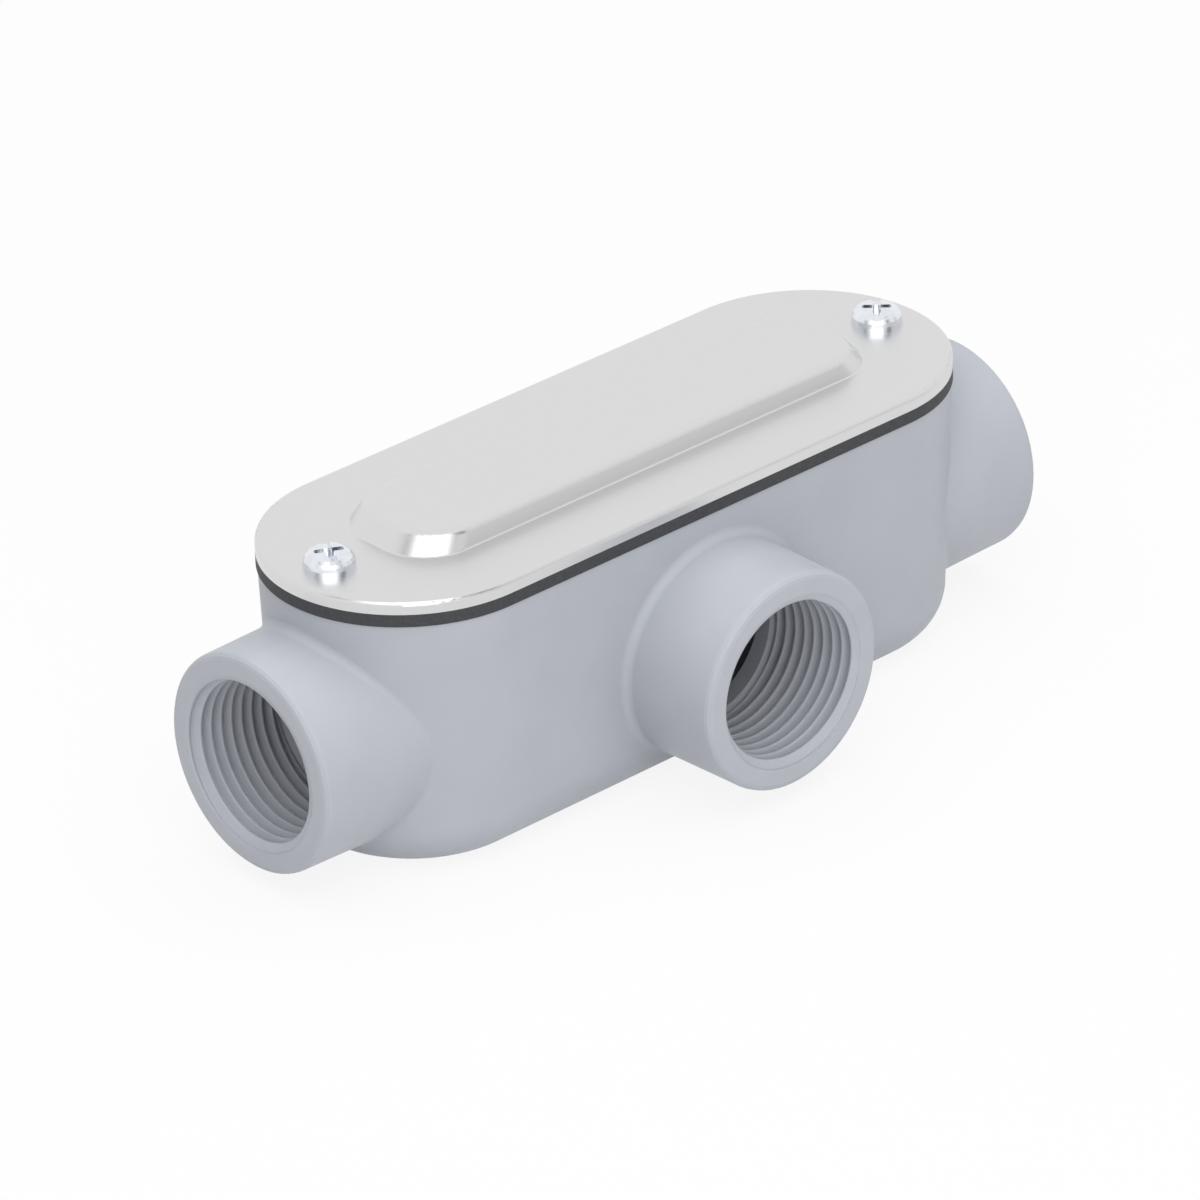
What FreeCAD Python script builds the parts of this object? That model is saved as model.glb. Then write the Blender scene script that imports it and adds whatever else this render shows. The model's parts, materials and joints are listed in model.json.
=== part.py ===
"""Threaded conduit body, T pattern, for 3/4 in rigid conduit.

A die-cast housing with three threaded hubs, closed by a gasket, a pressed sheet cover and two
screws. The frame: origin at the centre of the flat back face, +X along the run of the conduit,
-Y towards the side hub, +Z from the back face up to the cover. All sizes are in millimetres.
"""

import FreeCAD, Part
import math
import os
import Sketcher
from FreeCAD import Placement, Rotation, Vector
from types import SimpleNamespace

SIZES = {
    # housing shell
    "rim_length": 119.0,  # of the rim face that carries the gasket
    "rim_width": 42.0,
    "shell_height": 40.3,  # back face to rim face
    "shell_draft": 2.0,  # degrees, narrower towards the back
    "back_edge_radius": 7.6,
    "wall": 2.4,
    "floor_thickness": 2.8,
    "cavity_corner_radius": 13.0,
    "cavity_floor_radius": 4.0,
    # hubs
    "hub_axis_height": 19.2,
    "end_hub_projection": 9.6,  # from the rim's end to the hub's face
    "side_hub_projection": 15.7,  # from the rim's side to the hub's face
    "hub_sink": 14.5,  # how far a hub's outside goes in behind the rim's outline
    "hub_radius": 16.4,  # outside, behind the rounded edge
    "hub_draft": 1.1,  # degrees, wider towards the shell
    "hub_edge_radius": 1.0,
    "hub_blend_radius": 1.2,  # between hub and shell
    "mouth_radius": 13.35,
    "bore_radius": 13.15,  # root of the 3/4 - 14 thread
    "bore_depth": 15.8,
    "lip_thickness": 2.0,  # bushing lip between the thread and the cavity
    "throat_radius": 11.3,
    "lip_chamfer": 0.7,
    # cover screws, No. 8 - 32, and what they pass through
    "screw_inset": 6.6,  # from the rim's end
    "screw_radius": 2.08,
    "screw_length": 9.5,  # under the head
    "screw_tip_chamfer": 0.5,
    "head_radius": 3.7,
    "head_height": 2.4,
    "head_edge_radius": 1.8,
    "slot_width": 1.2,
    "slot_depth": 0.8,
    "recess_width": 1.0,  # of one wing of the cross
    "recess_span": 4.2,
    "recess_corner_radius": 0.3,
    "recess_depth": 1.5,
    "left_slot_angle": 62.0,  # degrees from +X, as the screws happened to stop
    "right_slot_angle": 47.0,
    "boss_radius": 4.4,
    "boss_depth": 14.0,
    "thread_clearance": 0.02,
    "tapped_depth": 6.6,
    "hole_clearance": 0.35,
    # gasket
    "gasket_thickness": 1.9,
    "gasket_band": 3.8,  # behind the rim's sides
    "gasket_lug": 5.9,  # from a screw's centre to the opening
    "gasket_corner_radius": 11.0,
    # cover
    "cover_overhang": 0.2,  # past the rim, the same for the gasket
    "cover_edge_height": 2.0,
    "cover_edge_radius": 0.7,
    "sheet": 1.0,
    "panel_gap": 8.3,  # from a screw's centre to the panel
    "panel_width": 20.3,
    "panel_corner_radius": 7.8,
    "panel_height": 2.85,
    "panel_end_slope": 38.0,  # degrees from upright
    "panel_side_slope": 17.0,
    "panel_top_radius": 1.2,
    "panel_foot_radius": 0.3,
}


class Size:
    """A length or an angle: its number, and the sheet expression that gives it."""

    def __init__(self, value, text):
        self.value = value
        self.text = text

    def joined(self, sign, other, value):
        other_text = other.text if isinstance(other, Size) else str(other)
        return Size(value, f"({self.text} {sign} {other_text})")

    def __add__(self, other):
        return self.joined("+", other, self.value + number(other))

    def __sub__(self, other):
        return self.joined("-", other, self.value - number(other))

    def __mul__(self, other):
        return self.joined("*", other, self.value * number(other))

    def __truediv__(self, other):
        return self.joined("/", other, self.value / number(other))


def number(size):
    return size.value if isinstance(size, Size) else size


def tangent(angle):
    return Size(math.tan(math.radians(angle.value)), f"tan({angle.text} * 1 deg)")


size = SimpleNamespace(**{name: Size(value, f"Sizes.{name}") for name, value in SIZES.items()})

# Sizes that follow from the others.
rim_height = size.shell_height
gasket_top = rim_height + size.gasket_thickness
cover_top = gasket_top + size.cover_edge_height
end_reach = size.rim_length / 2 + size.end_hub_projection
side_reach = size.rim_width / 2 + size.side_hub_projection
cavity_length = (end_reach - size.bore_depth - size.lip_thickness) * 2
cavity_width = size.rim_width - size.wall * 2
screw_spacing = size.rim_length - size.screw_inset * 2
cover_length = size.rim_length + size.cover_overhang * 2
cover_width = size.rim_width + size.cover_overhang * 2
panel_length = screw_spacing - size.panel_gap * 2
gasket_opening_length = screw_spacing - size.gasket_lug * 2
gasket_opening_width = size.rim_width - size.gasket_band * 2
clearance_hole_radius = size.screw_radius + size.hole_clearance

doc = FreeCAD.newDocument("conduit_body")
sheet = doc.addObject("Spreadsheet::Sheet", "Sizes")
for row, (name, value) in enumerate(SIZES.items(), start=1):
    sheet.set(f"A{row}", name)
    sheet.set(f"B{row}", str(value))
    sheet.setAlias(f"B{row}", name)
doc.recompute()


# ---------------------------------------------------------------- sketches

# Sketcher's own numbers for a geometry's points, and for a sketch's two axes.
_, START, END, CENTRE = range(4)
H_AXIS, V_AXIS = range(-1, -3, -1)
ORIGIN = (H_AXIS, START)


def bind(thing, prop, driver):
    thing.setExpression(prop, driver.text)


def new_body(name):
    body = doc.addObject("PartDesign::Body", name)
    body.Label = name
    return body


def origin_plane(body, role):
    return next(feature for feature in body.Origin.OriginFeatures if feature.Role == role)


def new_sketch(body, name, role, height=None, turned=False):
    """A sketch on one of the body's own planes, moved up to height.

    On an upright plane, turned makes a profile drawn to the right come out to the left.
    """
    sketch = body.newObject("Sketcher::SketchObject", name)
    sketch.AttachmentSupport = [(origin_plane(body, role), "")]
    sketch.MapMode = "FlatFace"
    if turned:
        sketch.AttachmentOffset = Placement(Vector(0, 0, 0), Rotation(Vector(0, 1, 0), 180))
    if height:
        up = "z" if role == "XY_Plane" else "y"
        bind(sketch, f"AttachmentOffset.Base.{up}", height)
    return sketch


def dimension(sketch, kind, where, driver):
    """Constrain what is drawn, at its drawn size or place, and bind that to the sheet."""
    index = sketch.addConstraint(Sketcher.Constraint(kind, *where, driver.value))
    name = f"driven{index}"
    sketch.renameConstraint(index, name)
    bind(sketch, f"Constraints.{name}", driver)


def draw_circle(sketch, radius, across=None):
    """A circle at the origin, or on the horizontal axis at the distance across from it."""
    x = number(across) if across else 0.0
    circle = sketch.addGeometry(Part.Circle(Vector(x, 0, 0), Vector(0, 0, 1), radius.value))
    dimension(sketch, "Radius", (circle,), radius)
    if not across:
        sketch.addConstraint(Sketcher.Constraint("Coincident", circle, CENTRE, *ORIGIN))
        return
    sketch.addConstraint(Sketcher.Constraint("PointOnObject", circle, CENTRE, H_AXIS))
    ends = (*ORIGIN, circle, CENTRE) if x > 0 else (circle, CENTRE, *ORIGIN)
    dimension(sketch, "DistanceX", ends, across if x > 0 else across * -1)


def draw_screw_circles(sketch, radius):
    for side in (-1, 1):
        draw_circle(sketch, radius, screw_spacing / 2 * side)


def draw_rounded_rectangle(sketch, length, width, radius=None):
    """A rectangle about the origin with round corners, or with round ends if no radius is given."""
    x, y = length.value / 2, width.value / 2
    r = radius.value if radius else y
    normal = Vector(0, 0, 1)
    quarter = math.pi / 2

    def arc(cx, cy, first, turns):
        circle = Part.Circle(Vector(cx, cy, 0), normal, r)
        return sketch.addGeometry(Part.ArcOfCircle(circle, first * quarter, (first + turns) * quarter))

    def line(x1, y1, x2, y2):
        return sketch.addGeometry(Part.LineSegment(Vector(x1, y1, 0), Vector(x2, y2, 0)))

    def smooth(first, first_end, second, second_end):
        sketch.addConstraint(Sketcher.Constraint("Tangent", first, first_end, second, second_end))

    top = line(-x + r, y, x - r, y)
    bottom = line(x - r, -y, -x + r, -y)
    sketch.addConstraint(Sketcher.Constraint("Horizontal", top))
    if radius is None:
        right, left = arc(x - r, 0, -1, 2), arc(-x + r, 0, 1, 2)
        smooth(top, END, right, END)
        smooth(right, START, bottom, START)
        smooth(bottom, END, left, END)
        smooth(left, START, top, START)
        sketch.addConstraint(Sketcher.Constraint("Symmetric", right, CENTRE, left, CENTRE, *ORIGIN))
        dimension(sketch, "Radius", (right,), width / 2)
        dimension(sketch, "DistanceX", (left, CENTRE, right, CENTRE), length - width)
        return
    right, left = line(x, y - r, x, -y + r), line(-x, -y + r, -x, y - r)
    corners = [arc(x - r, y - r, 0, 1), arc(x - r, -y + r, -1, 1)]
    corners += [arc(-x + r, -y + r, 2, 1), arc(-x + r, y - r, 1, 1)]
    for before, corner, after in zip((top, right, bottom, left), corners, (right, bottom, left, top)):
        smooth(before, END, corner, END)
        smooth(corner, START, after, START)
    for side in (right, left):
        sketch.addConstraint(Sketcher.Constraint("Vertical", side))
    sketch.addConstraint(Sketcher.Constraint("Horizontal", bottom))
    for corner in corners[1:]:
        sketch.addConstraint(Sketcher.Constraint("Equal", corners[0], corner))
    opposite = (corners[0], CENTRE, corners[2], CENTRE)
    sketch.addConstraint(Sketcher.Constraint("Symmetric", *opposite, *ORIGIN))
    dimension(sketch, "Radius", (corners[0],), radius)
    dimension(sketch, "DistanceX", (left, START, right, START), length)
    dimension(sketch, "DistanceY", (bottom, START, top, END), width)


def rounded_corner(along, out, radius, strips):
    """Eases a profile's corner at (along, out) by short straight strips on an arc."""
    for step in range(strips + 1):
        angle = math.pi / 2 * step / strips
        yield along - radius * (1 - math.cos(angle)), out - radius * (1 - math.sin(angle))


def draw_profile(sketch, points):
    """A closed outline of straight lines through (along, out) points, to turn about an axis.

    Each coordinate is a Size, or 0 for a point on that axis of the sketch.
    """
    flat = [Vector(number(along), number(out), 0) for along, out in points]
    lines = [
        sketch.addGeometry(Part.LineSegment(first, second))
        for first, second in zip(flat, flat[1:] + flat[:1])
    ]
    for before, after in zip(lines, lines[1:] + lines[:1]):
        sketch.addConstraint(Sketcher.Constraint("Coincident", before, END, after, START))
    for line, point in zip(lines, points):
        for kind, place, axis in zip(("DistanceX", "DistanceY"), point, (V_AXIS, H_AXIS)):
            if not isinstance(place, Size):
                sketch.addConstraint(Sketcher.Constraint("PointOnObject", line, START, axis))
            elif place.value > 0:
                dimension(sketch, kind, (*ORIGIN, line, START), place)
            else:
                dimension(sketch, kind, (line, START, *ORIGIN), place * -1)


# ---------------------------------------------------------------- features


def pad(body, name, sketch, length, reversed=False, taper=None):
    feature = body.newObject("PartDesign::Pad", name)
    feature.Profile = sketch
    feature.Reversed = reversed
    bind(feature, "Length", length)
    if taper:
        bind(feature, "TaperAngle", taper)
    return finish(feature)


def pocket(body, name, sketch, depth, reversed=False, taper=None):
    before = body.Shape.Volume
    feature = body.newObject("PartDesign::Pocket", name)
    feature.Profile = sketch
    feature.Reversed = reversed
    bind(feature, "Length", depth)
    if taper:
        bind(feature, "TaperAngle", taper)
    return finish(feature, cut_from=before)


def loft(body, kind, name, first, last):
    """Run straight slopes between two outlines, to add them or, with SubtractiveLoft, to cut."""
    before = body.Shape.Volume if kind == "SubtractiveLoft" else None
    feature = body.newObject(f"PartDesign::{kind}", name)
    feature.Profile = first
    feature.Sections = [last]
    feature.Ruled = True
    return finish(feature, cut_from=before)


def turn(body, kind, name, sketch, axis):
    """Revolve the sketch about one of its axes, to add it or, with Groove, to cut it away."""
    before = body.Shape.Volume if kind == "Groove" else None
    feature = body.newObject(f"PartDesign::{kind}", name)
    feature.Profile = sketch
    feature.ReferenceAxis = (sketch, [axis])
    feature.Angle = 360
    return finish(feature, cut_from=before)


def fillet(body, name, radius, belongs):
    """Round the edges of the body so far for which belongs(edge, shape) is true."""
    base = body.Tip
    names = [
        f"Edge{index}"
        for index, edge in enumerate(base.Shape.Edges, start=1)
        if belongs(edge, base.Shape)
    ]
    if not names:
        raise RuntimeError(f"{name}: no edge to round")
    feature = body.newObject("PartDesign::Fillet", name)
    feature.Base = (base, names)
    bind(feature, "Radius", radius)
    return finish(feature)


def finish(feature, cut_from=None):
    doc.recompute()
    if "Invalid" in feature.State or "Error" in feature.State:
        raise RuntimeError(f"{feature.Name} failed: {feature.State}")
    if cut_from is not None and feature.Shape.Volume >= cut_from:
        raise RuntimeError(f"{feature.Name} cuts nothing")
    return feature


def at_height(height):
    """Picks the edges that lie wholly at that height."""

    def belongs(edge, shape):
        box = edge.BoundBox
        return abs(box.ZMin - height.value) < 0.01 and abs(box.ZMax - height.value) < 0.01

    return belongs


def is_hub_cone(face):
    return isinstance(face.Surface, Part.Cone) and abs(face.Surface.Axis.z) < 0.5


def between_hub_and_shell(edge, shape):
    """Picks the edges round a hub's root: one side is the hub's, and its face is well in front."""
    faces = shape.ancestorsOfType(edge, Part.Face)
    box = edge.BoundBox
    behind_the_end_faces = max(box.XMax, -box.XMin) < (end_reach - size.hub_edge_radius * 2).value
    behind_the_side_face = -box.YMin < (side_reach - size.hub_edge_radius * 2).value
    at_root = behind_the_end_faces and behind_the_side_face
    return at_root and len(faces) > 1 and sum(is_hub_cone(face) for face in faces) == 1


# ---------------------------------------------------------------- pieces


def hub_places():
    """Name, plane of the profile, whether it is turned, reach and projection of each hub."""
    yield "RightHub", "XZ_Plane", False, end_reach, size.end_hub_projection
    yield "LeftHub", "XZ_Plane", True, end_reach, size.end_hub_projection
    yield "SideHub", "YZ_Plane", True, side_reach, size.side_hub_projection


def make_housing():
    body = new_body("housing")
    outline = new_sketch(body, "RimOutline", "XY_Plane", height=rim_height)
    draw_rounded_rectangle(outline, size.rim_length, size.rim_width)
    pad(body, "Shell", outline, size.shell_height, reversed=True, taper=size.shell_draft * -1)
    fillet(body, "BackEdge", size.back_edge_radius, at_height(Size(0, "0")))

    for name, plane, turned, reach, projection in hub_places():
        outside = new_sketch(body, f"{name}Outside", plane, size.hub_axis_height, turned)
        run = projection + size.hub_sink
        root_radius = size.hub_radius + (run - size.hub_edge_radius) * tangent(size.hub_draft)
        edge = rounded_corner(reach, size.hub_radius, size.hub_edge_radius, strips=3)
        draw_profile(outside, [
            (reach - run, 0),
            (reach, 0),
            *edge,
            (reach - run, root_radius),
        ])
        turn(body, "Revolution", name, outside, "H_Axis")
    fillet(body, "HubBlend", size.hub_blend_radius, between_hub_and_shell)

    cavity = new_sketch(body, "CavityOutline", "XY_Plane", height=rim_height)
    draw_rounded_rectangle(cavity, cavity_length, cavity_width, size.cavity_corner_radius)
    depth = size.shell_height - size.floor_thickness
    pocket(body, "Cavity", cavity, depth, taper=size.shell_draft * -1)
    fillet(body, "CavityFloor", size.cavity_floor_radius, at_height(size.floor_thickness))

    bosses = new_sketch(body, "BossCircles", "XY_Plane", height=rim_height)
    draw_screw_circles(bosses, size.boss_radius)
    pad(body, "Bosses", bosses, size.boss_depth, reversed=True)

    for name, plane, turned, reach, _projection in hub_places():
        bore = new_sketch(body, f"{name}Bore", plane, size.hub_axis_height, turned)
        thread_end = reach - size.bore_depth
        chamfered = thread_end - size.lip_chamfer
        inside = thread_end - size.lip_thickness * 2
        countersink = size.mouth_radius - size.bore_radius
        draw_profile(bore, [
            (inside, 0),
            (reach, 0),
            (reach, size.mouth_radius),
            (reach - countersink, size.bore_radius),
            (thread_end, size.bore_radius),
            (thread_end, size.throat_radius + size.lip_chamfer),
            (chamfered, size.throat_radius),
            (inside, size.throat_radius),
        ])
        turn(body, "Groove", f"{name}Opening", bore, "H_Axis")

    tapped = new_sketch(body, "TappedCircles", "XY_Plane", height=rim_height)
    draw_screw_circles(tapped, size.screw_radius + size.thread_clearance)
    pocket(body, "TappedHoles", tapped, size.tapped_depth)
    return body


def make_gasket():
    body = new_body("gasket")
    outline = new_sketch(body, "GasketOutline", "XY_Plane", height=rim_height)
    draw_rounded_rectangle(outline, cover_length, cover_width)
    pad(body, "Strip", outline, size.gasket_thickness)
    opening = new_sketch(body, "GasketOpening", "XY_Plane", height=rim_height)
    corner = size.gasket_corner_radius
    draw_rounded_rectangle(opening, gasket_opening_length, gasket_opening_width, corner)
    pocket(body, "Opening", opening, size.gasket_thickness, reversed=True)
    holes = new_sketch(body, "GasketHoleCircles", "XY_Plane", height=rim_height)
    draw_screw_circles(holes, clearance_hole_radius)
    pocket(body, "GasketHoles", holes, size.gasket_thickness, reversed=True)
    return body


def make_cover():
    """One pressed sheet: a flat top with a turned-down edge and a raised panel."""
    body = new_body("cover")
    outline = new_sketch(body, "CoverOutline", "XY_Plane", height=gasket_top)
    draw_rounded_rectangle(outline, cover_length, cover_width)
    pad(body, "Plate", outline, size.cover_edge_height)
    fillet(body, "CoverEdge", size.cover_edge_radius, at_height(cover_top))

    def panel_slopes(kind, name, depth):
        """The panel's sides from foot to top, moved in by depth, measured square to them."""
        end_inset = tangent((size.panel_end_slope * -1 + 90) / 2) * depth * 2
        side_inset = tangent((size.panel_side_slope * -1 + 90) / 2) * depth * 2
        length, width = panel_length - end_inset, size.panel_width - side_inset
        radius = size.panel_corner_radius - depth
        foot = new_sketch(body, f"{name}Foot", "XY_Plane", height=cover_top - depth)
        draw_rounded_rectangle(foot, length, width, radius)
        length -= tangent(size.panel_end_slope) * size.panel_height * 2
        width -= tangent(size.panel_side_slope) * size.panel_height * 2
        top = new_sketch(body, f"{name}Top", "XY_Plane", height=cover_top - depth + size.panel_height)
        draw_rounded_rectangle(top, length, width, radius)
        loft(body, kind, name, foot, top)

    panel_slopes("AdditiveLoft", "Panel", Size(0, "0"))
    fillet(body, "PanelTopEdge", size.panel_top_radius, at_height(cover_top + size.panel_height))

    def on_panel_foot(edge, shape):
        inside = edge.BoundBox.YLength < size.panel_width.value + 0.01
        near = abs(edge.BoundBox.Center.y) < size.panel_width.value / 2 + 0.01
        return at_height(cover_top)(edge, shape) and inside and near

    fillet(body, "PanelFoot", size.panel_foot_radius, on_panel_foot)

    under = new_sketch(body, "UnderOutline", "XY_Plane", height=gasket_top)
    inset = size.sheet * 2
    draw_rounded_rectangle(under, cover_length - inset, cover_width - inset)
    pocket(body, "Underside", under, size.cover_edge_height - size.sheet, reversed=True)
    panel_slopes("SubtractiveLoft", "PanelHollow", size.sheet)

    holes = new_sketch(body, "CoverHoleCircles", "XY_Plane", height=gasket_top)
    draw_screw_circles(holes, clearance_hole_radius)
    pocket(body, "CoverHoles", holes, size.cover_edge_height, reversed=True)
    return body


def make_screw(name, side, slot_angle):
    """A pan head screw with a combined slot and cross recess, drawn with its head on z = 0."""
    body = new_body(name)
    profile = new_sketch(body, f"{name}_profile", "XZ_Plane")
    tip = size.screw_radius - size.screw_tip_chamfer
    length = size.screw_length * -1
    draw_profile(profile, [
        (0, length),
        (tip, length),
        (size.screw_radius, length + size.screw_tip_chamfer),
        (size.screw_radius, 0),
        (size.head_radius, 0),
        *rounded_corner(size.head_radius, size.head_height, size.head_edge_radius, strips=5),
        (0, size.head_height),
    ])
    turn(body, "Revolution", f"{name}_form", profile, "V_Axis")

    wing = size.recess_span, size.recess_width
    cuts = {
        "slot": (size.head_radius * 2 + size.slot_width, size.slot_width, size.slot_depth),
        "wing_along": (*wing, size.recess_depth),
        "wing_across": (*reversed(wing), size.recess_depth),
    }
    for cut, (length, width, depth) in cuts.items():
        outline = new_sketch(body, f"{name}_{cut}_outline", "XY_Plane", height=size.head_height)
        draw_rounded_rectangle(outline, length, width, size.recess_corner_radius)
        pocket(body, f"{name}_{cut}", outline, depth)

    body.Placement = Placement(Vector(0, 0, 0), Rotation(Vector(0, 0, 1), slot_angle.value))
    bind(body, "Placement.Base.x", screw_spacing / 2 * side)
    bind(body, "Placement.Base.z", cover_top)
    return body


pieces = [
    make_housing(),
    make_gasket(),
    make_cover(),
    make_screw("cover_screw_left", -1, size.left_slot_angle),
    make_screw("cover_screw_right", 1, size.right_slot_angle),
]
doc.recompute()

for thing in doc.Objects:
    if "Invalid" in thing.State or "Error" in thing.State:
        raise RuntimeError(f"{thing.Name} failed: {thing.State}")
for piece in pieces:
    if piece.Shape.isNull() or not piece.Shape.isValid() or len(piece.Shape.Solids) != 1:
        raise RuntimeError(f"{piece.Label} is not one valid solid")

os.makedirs("parts", exist_ok=True)
for piece in pieces:
    piece.Shape.exportStep(f"parts/{piece.Label}.step")
    print(piece.Label, "volume", round(piece.Shape.Volume, 1), "mm3")
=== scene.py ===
"""Looks of the threaded conduit body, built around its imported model.

The CAD nodes keep their shapes and get their finishes here. What is added is the thread in each
hub, as a closed sleeve that lines the hub's bore. Lengths are metres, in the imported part's frame.
"""

import json
import math

import bmesh
import bpy
from mathutils import Matrix, Vector


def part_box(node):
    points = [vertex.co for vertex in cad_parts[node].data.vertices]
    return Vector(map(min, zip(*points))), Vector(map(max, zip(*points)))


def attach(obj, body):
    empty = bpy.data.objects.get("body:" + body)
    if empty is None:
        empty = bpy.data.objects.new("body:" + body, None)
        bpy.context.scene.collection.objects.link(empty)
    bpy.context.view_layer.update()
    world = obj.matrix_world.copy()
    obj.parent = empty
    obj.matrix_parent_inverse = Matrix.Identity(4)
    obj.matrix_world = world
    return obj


MM = 0.001

# ---------------------------------------------------------------- frame

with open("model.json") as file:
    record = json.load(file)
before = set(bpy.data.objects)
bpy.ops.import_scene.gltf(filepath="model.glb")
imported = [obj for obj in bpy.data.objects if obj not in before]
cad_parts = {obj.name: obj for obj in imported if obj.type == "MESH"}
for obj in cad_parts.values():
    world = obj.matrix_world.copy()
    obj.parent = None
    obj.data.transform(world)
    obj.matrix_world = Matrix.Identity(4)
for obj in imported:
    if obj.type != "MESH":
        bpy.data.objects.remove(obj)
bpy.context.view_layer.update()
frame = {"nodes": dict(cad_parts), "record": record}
record = frame["record"]
nodes = frame["nodes"]
housing_box = [Vector(corner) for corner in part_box("housing")]


# ---------------------------------------------------------------- materials


class Nodes:
    """A material's node tree, with short calls for the nodes that are used more than once."""

    def __init__(self, name):
        self.material = bpy.data.materials.new(name)
        self.material.use_nodes = True
        self.tree = self.material.node_tree
        self.tree.nodes.clear()
        self.shader = self.tree.nodes.new("ShaderNodeBsdfPrincipled")
        output = self.tree.nodes.new("ShaderNodeOutputMaterial")
        self.link(self.shader.outputs["BSDF"], output.inputs["Surface"])
        coordinates = self.tree.nodes.new("ShaderNodeTexCoord")
        self.place = coordinates.outputs["Object"]

    def link(self, source, target):
        self.tree.links.new(source, target)

    def set(self, **sockets):
        """Numbers and colours on the shader's own sockets, by their names with _ for a space."""
        for name, value in sockets.items():
            self.shader.inputs[name.replace("_", " ")].default_value = value

    def noise(self, size, detail=2.0, roughness=0.5, stretch=(1, 1, 1)):
        """Noise whose lumps are about that many metres across, drawn out by stretch."""
        mapping = self.tree.nodes.new("ShaderNodeMapping")
        mapping.inputs["Scale"].default_value = [1 / (size * axis) for axis in stretch]
        self.link(self.place, mapping.inputs["Vector"])
        noise = self.tree.nodes.new("ShaderNodeTexNoise")
        noise.inputs["Scale"].default_value = 1.0
        noise.inputs["Detail"].default_value = detail
        noise.inputs["Roughness"].default_value = roughness
        self.link(mapping.outputs["Vector"], noise.inputs["Vector"])
        return noise.outputs["Fac"]

    def spread(self, source, low, high, start=0.3, end=0.7):
        """Maps the noise from start..end to low..high."""
        spread = self.tree.nodes.new("ShaderNodeMapRange")
        for name, value in zip(("From Min", "From Max", "To Min", "To Max"), (start, end, low, high)):
            spread.inputs[name].default_value = value
        self.link(source, spread.inputs["Value"])
        return spread.outputs["Result"]

    def mix(self, factor, first, second):
        mix = self.tree.nodes.new("ShaderNodeMix")
        mix.data_type = "RGBA"
        self.link(factor, mix.inputs["Factor"])
        mix.inputs["A"].default_value = (*first, 1)
        mix.inputs["B"].default_value = (*second, 1)
        return mix.outputs["Result"]

    def bump(self, *layers):
        """Bumps the surface by (noise, height in metres) layers, one over the other."""
        normal = None
        for height, metres in layers:
            bump = self.tree.nodes.new("ShaderNodeBump")
            bump.inputs["Distance"].default_value = metres
            self.link(height, bump.inputs["Height"])
            if normal:
                self.link(normal, bump.inputs["Normal"])
            normal = bump.outputs["Normal"]
        self.link(normal, self.shader.inputs["Normal"])


def powder_coat():
    """Satin blue-grey paint with a fine orange peel over the casting."""
    paint = Nodes("housing_paint")
    tone = paint.spread(paint.noise(9 * MM), 0, 1)
    colour = paint.mix(tone, (0.44, 0.458, 0.504), (0.46, 0.478, 0.522))
    paint.link(colour, paint.shader.inputs["Base Color"])
    paint.link(paint.spread(paint.noise(2 * MM), 0.42, 0.5), paint.shader.inputs["Roughness"])
    paint.set(IOR=1.5, Specular_IOR_Level=0.3)
    paint.bump((paint.noise(0.6 * MM), 0.012 * MM), (paint.noise(0.12 * MM), 0.003 * MM))
    return paint.material


def rubber():
    """Matt black gasket sheet."""
    sheet = Nodes("gasket_rubber")
    tone = sheet.spread(sheet.noise(0.5 * MM), 0, 1)
    colour = sheet.mix(tone, (0.036, 0.038, 0.042), (0.05, 0.052, 0.056))
    sheet.link(colour, sheet.shader.inputs["Base Color"])
    sheet.set(Roughness=0.7)
    sheet.bump((sheet.noise(0.25 * MM), 0.01 * MM))
    return sheet.material


def pressed_sheet():
    """Bare rolled aluminium: satin, with faint rolling marks along X."""
    metal = Nodes("cover_sheet")
    rolled = metal.noise(0.15 * MM, stretch=(60, 1, 1))
    colour = metal.mix(rolled, (0.68, 0.68, 0.68), (0.71, 0.71, 0.71))
    metal.link(colour, metal.shader.inputs["Base Color"])
    metal.link(metal.spread(rolled, 0.28, 0.34), metal.shader.inputs["Roughness"])
    metal.set(Metallic=1.0)
    metal.bump((rolled, 0.0015 * MM), (metal.noise(6 * MM), 0.004 * MM))
    return metal.material


def zinc():
    """Bright zinc plate, slightly blue."""
    plate = Nodes("screw_zinc")
    tone = plate.spread(plate.noise(1.5 * MM), 0, 1)
    colour = plate.mix(tone, (0.74, 0.77, 0.82), (0.82, 0.84, 0.87))
    plate.link(colour, plate.shader.inputs["Base Color"])
    plate.link(plate.spread(plate.noise(0.4 * MM), 0.16, 0.24), plate.shader.inputs["Roughness"])
    plate.set(Metallic=1.0)
    plate.bump((plate.noise(0.5 * MM), 0.004 * MM))
    return plate.material


FINISHES = {
    "housing_paint": powder_coat(),
    "gasket_rubber": rubber(),
    "cover_sheet": pressed_sheet(),
    "screw_zinc": zinc(),
}


def dress_nodes():
    for part in record["subparts"]:
        materials = nodes[part["node"]].data.materials
        materials.clear()
        materials.append(FINISHES[part["material_slot"]])


# ---------------------------------------------------------------- threads

THREAD_PITCH = 25.4 * MM / 14
THREAD_DEPTH = 1.22 * MM
THREAD_TAPER = 1 / 32  # of the radius, over the depth
CREST_SHARE = 0.16  # of the pitch
ROOT_SHARE = 0.16
START_TURN = 0.4  # where the first crest leaves the hub's face, in turns
SPARE_TURNS = 2  # of the grid before the face, so that its slanting rows cover the whole mouth
FADE = 0.3  # how far the thread takes to rise from its root at each end of the bore, in turns
ROWS_PER_TURN = 16
COLUMNS = 160
SLEEVE_SINK = 0.12 * MM  # how far the sleeve goes into the hub's wall and the lip behind it
FACE_GAP = 0.01 * MM  # from the hub's face to the sleeve's end
MERGE_DISTANCE = 1e-4 * MM
SHARP_ANGLE = math.radians(80)  # keeps the sleeve's ends crisp, and its turns soft as under paint


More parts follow.
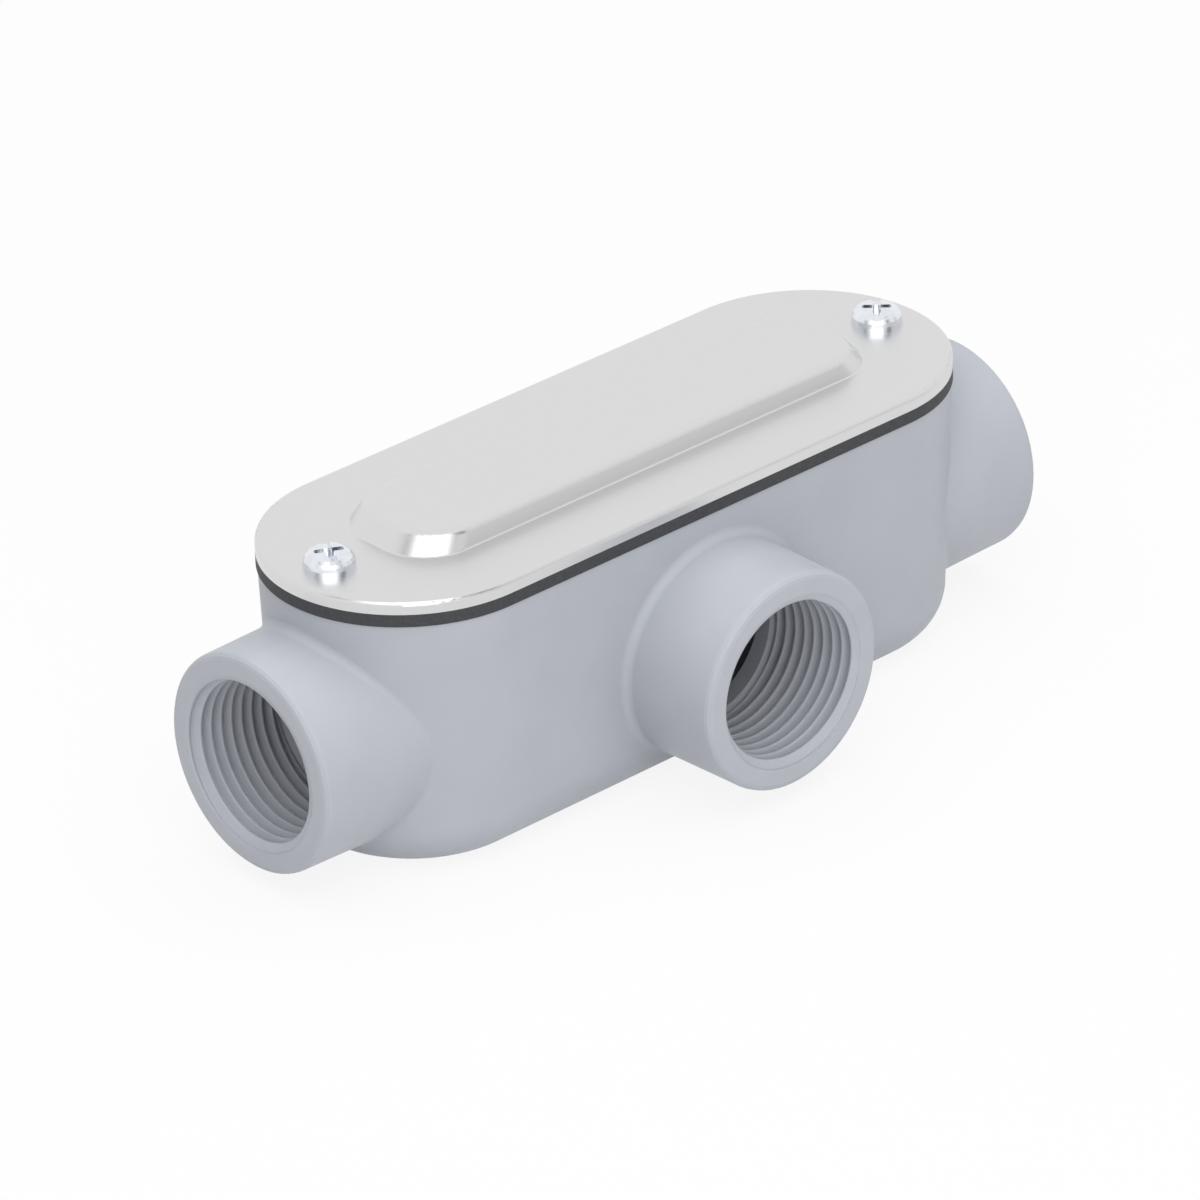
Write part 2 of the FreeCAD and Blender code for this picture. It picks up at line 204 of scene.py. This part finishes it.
def thread_height(phase):
    """Height of the thread above its root, from 0 to 1, at a phase of 0 to 1 over the pitch."""
    from_crest = 0.5 - abs(phase % 1.0 - 0.5)
    flank = 0.5 - CREST_SHARE / 2 - ROOT_SHARE / 2
    return min(max((0.5 - ROOT_SHARE / 2 - from_crest) / flank, 0.0), 1.0)


def make_thread(mount):
    """A closed sleeve that lines the mount's bore, with the thread on its inside.

    The rows of the inside's grid follow the helix, with ROWS_PER_TURN of them to each turn. Points
    before the mouth or past the bore's end are moved to that end, where they merge.
    """
    axis, middle = Vector(mount["axis"]), Vector(mount["pos_m"])
    root = mount["dims"]["r_mm"] * MM
    bore = mount["dims"]["length_mm"] * MM
    face = max(axis.dot(corner) for corner in housing_box) - axis.dot(middle)
    chamfer = face - bore / 2
    first, last = FACE_GAP, face + bore / 2 + SLEEVE_SINK
    rows = (math.ceil(last / THREAD_PITCH) + SPARE_TURNS) * ROWS_PER_TURN
    outside = root + chamfer + SLEEVE_SINK
    form = bmesh.new()

    def point(radius, depth, column):
        angle = -2 * math.pi * column / COLUMNS
        return radius * math.cos(angle), radius * math.sin(angle), face - depth

    def inner_point(row, column):
        turns = row / ROWS_PER_TURN + column / COLUMNS - SPARE_TURNS + START_TURN
        depth = min(max(turns * THREAD_PITCH, first), last)
        fade = min(depth - first, last - depth) / THREAD_PITCH / FADE
        height = THREAD_DEPTH * thread_height(row / ROWS_PER_TURN) * min(fade, 1.0)
        return point(root - depth * THREAD_TAPER - height, depth, column)

    def add_ring(place):
        return [form.verts.new(place(column)) for column in range(COLUMNS + 1)]

    rings = [add_ring(lambda column: inner_point(row, column)) for row in range(rows + 1)]
    for depth in (last, first):
        rings.append(add_ring(lambda column: point(outside, depth, column)))
    for ring, following in zip(rings, rings[1:] + rings[:1]):
        for column in range(COLUMNS):
            corners = ring[column], ring[column + 1], following[column + 1], following[column]
            form.faces.new(corners)
    bmesh.ops.remove_doubles(form, verts=form.verts, dist=MERGE_DISTANCE)
    bmesh.ops.recalc_face_normals(form, faces=form.faces)
    for face_of_form in form.faces:
        face_of_form.smooth = True

    turn = axis.to_track_quat("Z", "Y").to_matrix().to_4x4()
    form.transform(Matrix.Translation(middle) @ turn)
    mesh = bpy.data.meshes.new(f"{mount['name']}_thread")
    form.to_mesh(mesh)
    form.free()
    mesh.set_sharp_from_angle(angle=SHARP_ANGLE)
    thread = bpy.data.objects.new(mesh.name, mesh)
    bpy.context.scene.collection.objects.link(thread)
    mesh.materials.append(FINISHES["housing_paint"])
    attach(thread, "root")


# ---------------------------------------------------------------- floor, light and camera

HUB_CROSSING = Vector((0, 0, record["mounts"][0]["pos_m"][2]))  # where the hubs' axes meet
FLOOR_SIZE = 6.0
FLOOR_TONE = (0.8, 0.8, 0.8, 1)
SHADOW_FADE = 0.88  # how much of the shadow on the floor is lost in its white
WORLD_LIGHT = 0.3  # what the world gives to matt surfaces, where 1 is white

# Soft boxes that look at the hubs' crossing. Azimuth 0 is the -Y side, and lengths are metres.
LAMPS = {
    "overhead": {"azimuth": 0, "elevation": 90, "size": (1.6, 1.6), "watts": 12.0, "mirrored": False},
    "front": {"azimuth": -42, "elevation": 38, "size": (1.0, 0.8), "watts": 3.7, "mirrored": True},
    "low": {"azimuth": 0, "elevation": 10, "size": (0.9, 0.3), "watts": 1.3, "mirrored": False},
}
STUDIO_DISTANCE = 1.0
# Cards that are seen only in a gloss: a dark one each side of the front soft box, and a grey one
# that the long side of the cover's panel mirrors. Brightness 1 is white.
CARDS = {
    "card_right": {"azimuth": 16, "elevation": 38, "size": (0.34, 0.5), "brightness": 0.03},
    "card_left": {"azimuth": -98, "elevation": 38, "size": (0.14, 0.5), "brightness": 0.03},
    "card_low": {"azimuth": 40, "elevation": 4, "size": (0.7, 0.4), "brightness": 0.75},
}


def seen_directly(tree):
    """1 for what the camera sees, straight or in a gloss or through glass, and 0 for the rest."""
    path = tree.nodes.new("ShaderNodeLightPath")
    total = path.outputs["Is Camera Ray"]
    for name in ("Is Glossy Ray", "Is Transmission Ray"):
        add = tree.nodes.new("ShaderNodeMath")
        add.operation = "ADD"
        tree.links.new(total, add.inputs[0])
        tree.links.new(path.outputs[name], add.inputs[1])
        total = add.outputs["Value"]
    return total


def scaled(tree, source, low, high):
    """Maps 0..1 to low..high."""
    spread = tree.nodes.new("ShaderNodeMapRange")
    spread.inputs["To Min"].default_value = low
    spread.inputs["To Max"].default_value = high
    tree.links.new(source, spread.inputs["Value"])
    return spread.outputs["Result"]


def make_world():
    world = bpy.data.worlds.new("studio")
    bpy.context.scene.world = world
    world.use_nodes = True
    tree = world.node_tree
    background = tree.nodes["Background"]
    background.inputs["Color"].default_value = (1, 1, 1, 1)
    tree.links.new(scaled(tree, seen_directly(tree), WORLD_LIGHT, 1.0), background.inputs["Strength"])


def make_floor():
    """Pale to the light that bounces off it, and to the camera white with a faint shadow."""
    half = FLOOR_SIZE / 2
    corners = [(-half, -half, 0), (half, -half, 0), (half, half, 0), (-half, half, 0)]
    mesh = bpy.data.meshes.new("floor")
    mesh.from_pydata(corners, [], [range(4)])
    floor = bpy.data.objects.new("floor", mesh)
    bpy.context.scene.collection.objects.link(floor)

    material = bpy.data.materials.new("floor")
    material.use_nodes = True
    tree = material.node_tree
    tree.nodes.clear()
    lit = tree.nodes.new("ShaderNodeBsdfDiffuse")
    lit.inputs["Color"].default_value = FLOOR_TONE
    white = tree.nodes.new("ShaderNodeEmission")
    blend = tree.nodes.new("ShaderNodeMixShader")
    output = tree.nodes.new("ShaderNodeOutputMaterial")
    tree.links.new(scaled(tree, seen_directly(tree), 0, SHADOW_FADE), blend.inputs["Fac"])
    tree.links.new(lit.outputs["BSDF"], blend.inputs[1])
    tree.links.new(white.outputs["Emission"], blend.inputs[2])
    tree.links.new(blend.outputs["Shader"], output.inputs["Surface"])
    mesh.materials.append(material)


def toward(azimuth, elevation):
    """The unit vector from the part to that azimuth and elevation, in radians."""
    level = math.cos(elevation)
    return Vector((math.sin(azimuth) * level, -math.cos(azimuth) * level, math.sin(elevation)))


def place_in_studio(thing, azimuth, elevation):
    """Puts it round the part, facing the hubs' crossing, where the camera doesn't see it."""
    away = toward(math.radians(azimuth), math.radians(elevation))
    thing.location = HUB_CROSSING + away * STUDIO_DISTANCE
    thing.rotation_euler = away.to_track_quat("Z", "Y").to_euler()
    thing.visible_camera = False
    bpy.context.scene.collection.objects.link(thing)


def make_lamp(name, azimuth, elevation, size, watts, mirrored):
    light = bpy.data.lights.new(name, "AREA")
    light.shape = "RECTANGLE"
    light.size, light.size_y = size
    light.energy = watts
    lamp = bpy.data.objects.new(name, light)
    lamp.visible_glossy = mirrored
    place_in_studio(lamp, azimuth, elevation)


def make_card(name, azimuth, elevation, size, brightness):
    x, y = (side / 2 for side in size)
    mesh = bpy.data.meshes.new(name)
    mesh.from_pydata([(-x, -y, 0), (x, -y, 0), (x, y, 0), (-x, y, 0)], [], [range(4)])
    material = bpy.data.materials.new(name)
    material.use_nodes = True
    shader = material.node_tree.nodes["Principled BSDF"]
    shader.inputs["Base Color"].default_value = (0, 0, 0, 1)
    shader.inputs["Specular IOR Level"].default_value = 0.0
    shader.inputs["Emission Color"].default_value = (1, 1, 1, 1)
    shader.inputs["Emission Strength"].default_value = brightness
    mesh.materials.append(material)
    card = bpy.data.objects.new(name, mesh)
    card.visible_diffuse = False
    card.visible_shadow = False
    place_in_studio(card, azimuth, elevation)


VIEW_AZIMUTH = math.radians(-42.284)
VIEW_ELEVATION = math.radians(27.932)
VIEW_ROLL = math.radians(-1.641)
VIEW_DISTANCE = 1260.9 * MM
VIEW_SLIDE = (-2.032 * MM, -0.495 * MM)  # to the right and up in the picture
LENS = 265.5
SENSOR = 36.0


def make_camera():
    back = toward(VIEW_AZIMUTH, VIEW_ELEVATION)
    level = Vector((0, 0, 1)).cross(back).normalized()
    right = Matrix.Rotation(VIEW_ROLL, 3, back) @ level
    up = back.cross(right)
    data = bpy.data.cameras.new("camera")
    data.lens = LENS
    data.sensor_width = SENSOR
    camera = bpy.data.objects.new("camera", data)
    place = HUB_CROSSING + back * VIEW_DISTANCE + right * VIEW_SLIDE[0] + up * VIEW_SLIDE[1]
    camera.matrix_world = Matrix.Translation(place) @ Matrix((right, up, back)).transposed().to_4x4()
    bpy.context.scene.collection.objects.link(camera)
    bpy.context.scene.camera = camera


# ---------------------------------------------------------------- the scene

dress_nodes()
for mount in record["mounts"]:
    if mount["kind"] == "threaded_hole":
        make_thread(mount)

make_world()
make_floor()
for name, lamp in LAMPS.items():
    make_lamp(name, **lamp)
for name, card in CARDS.items():
    make_card(name, **card)
make_camera()
bpy.context.scene.view_settings.view_transform = "Standard"
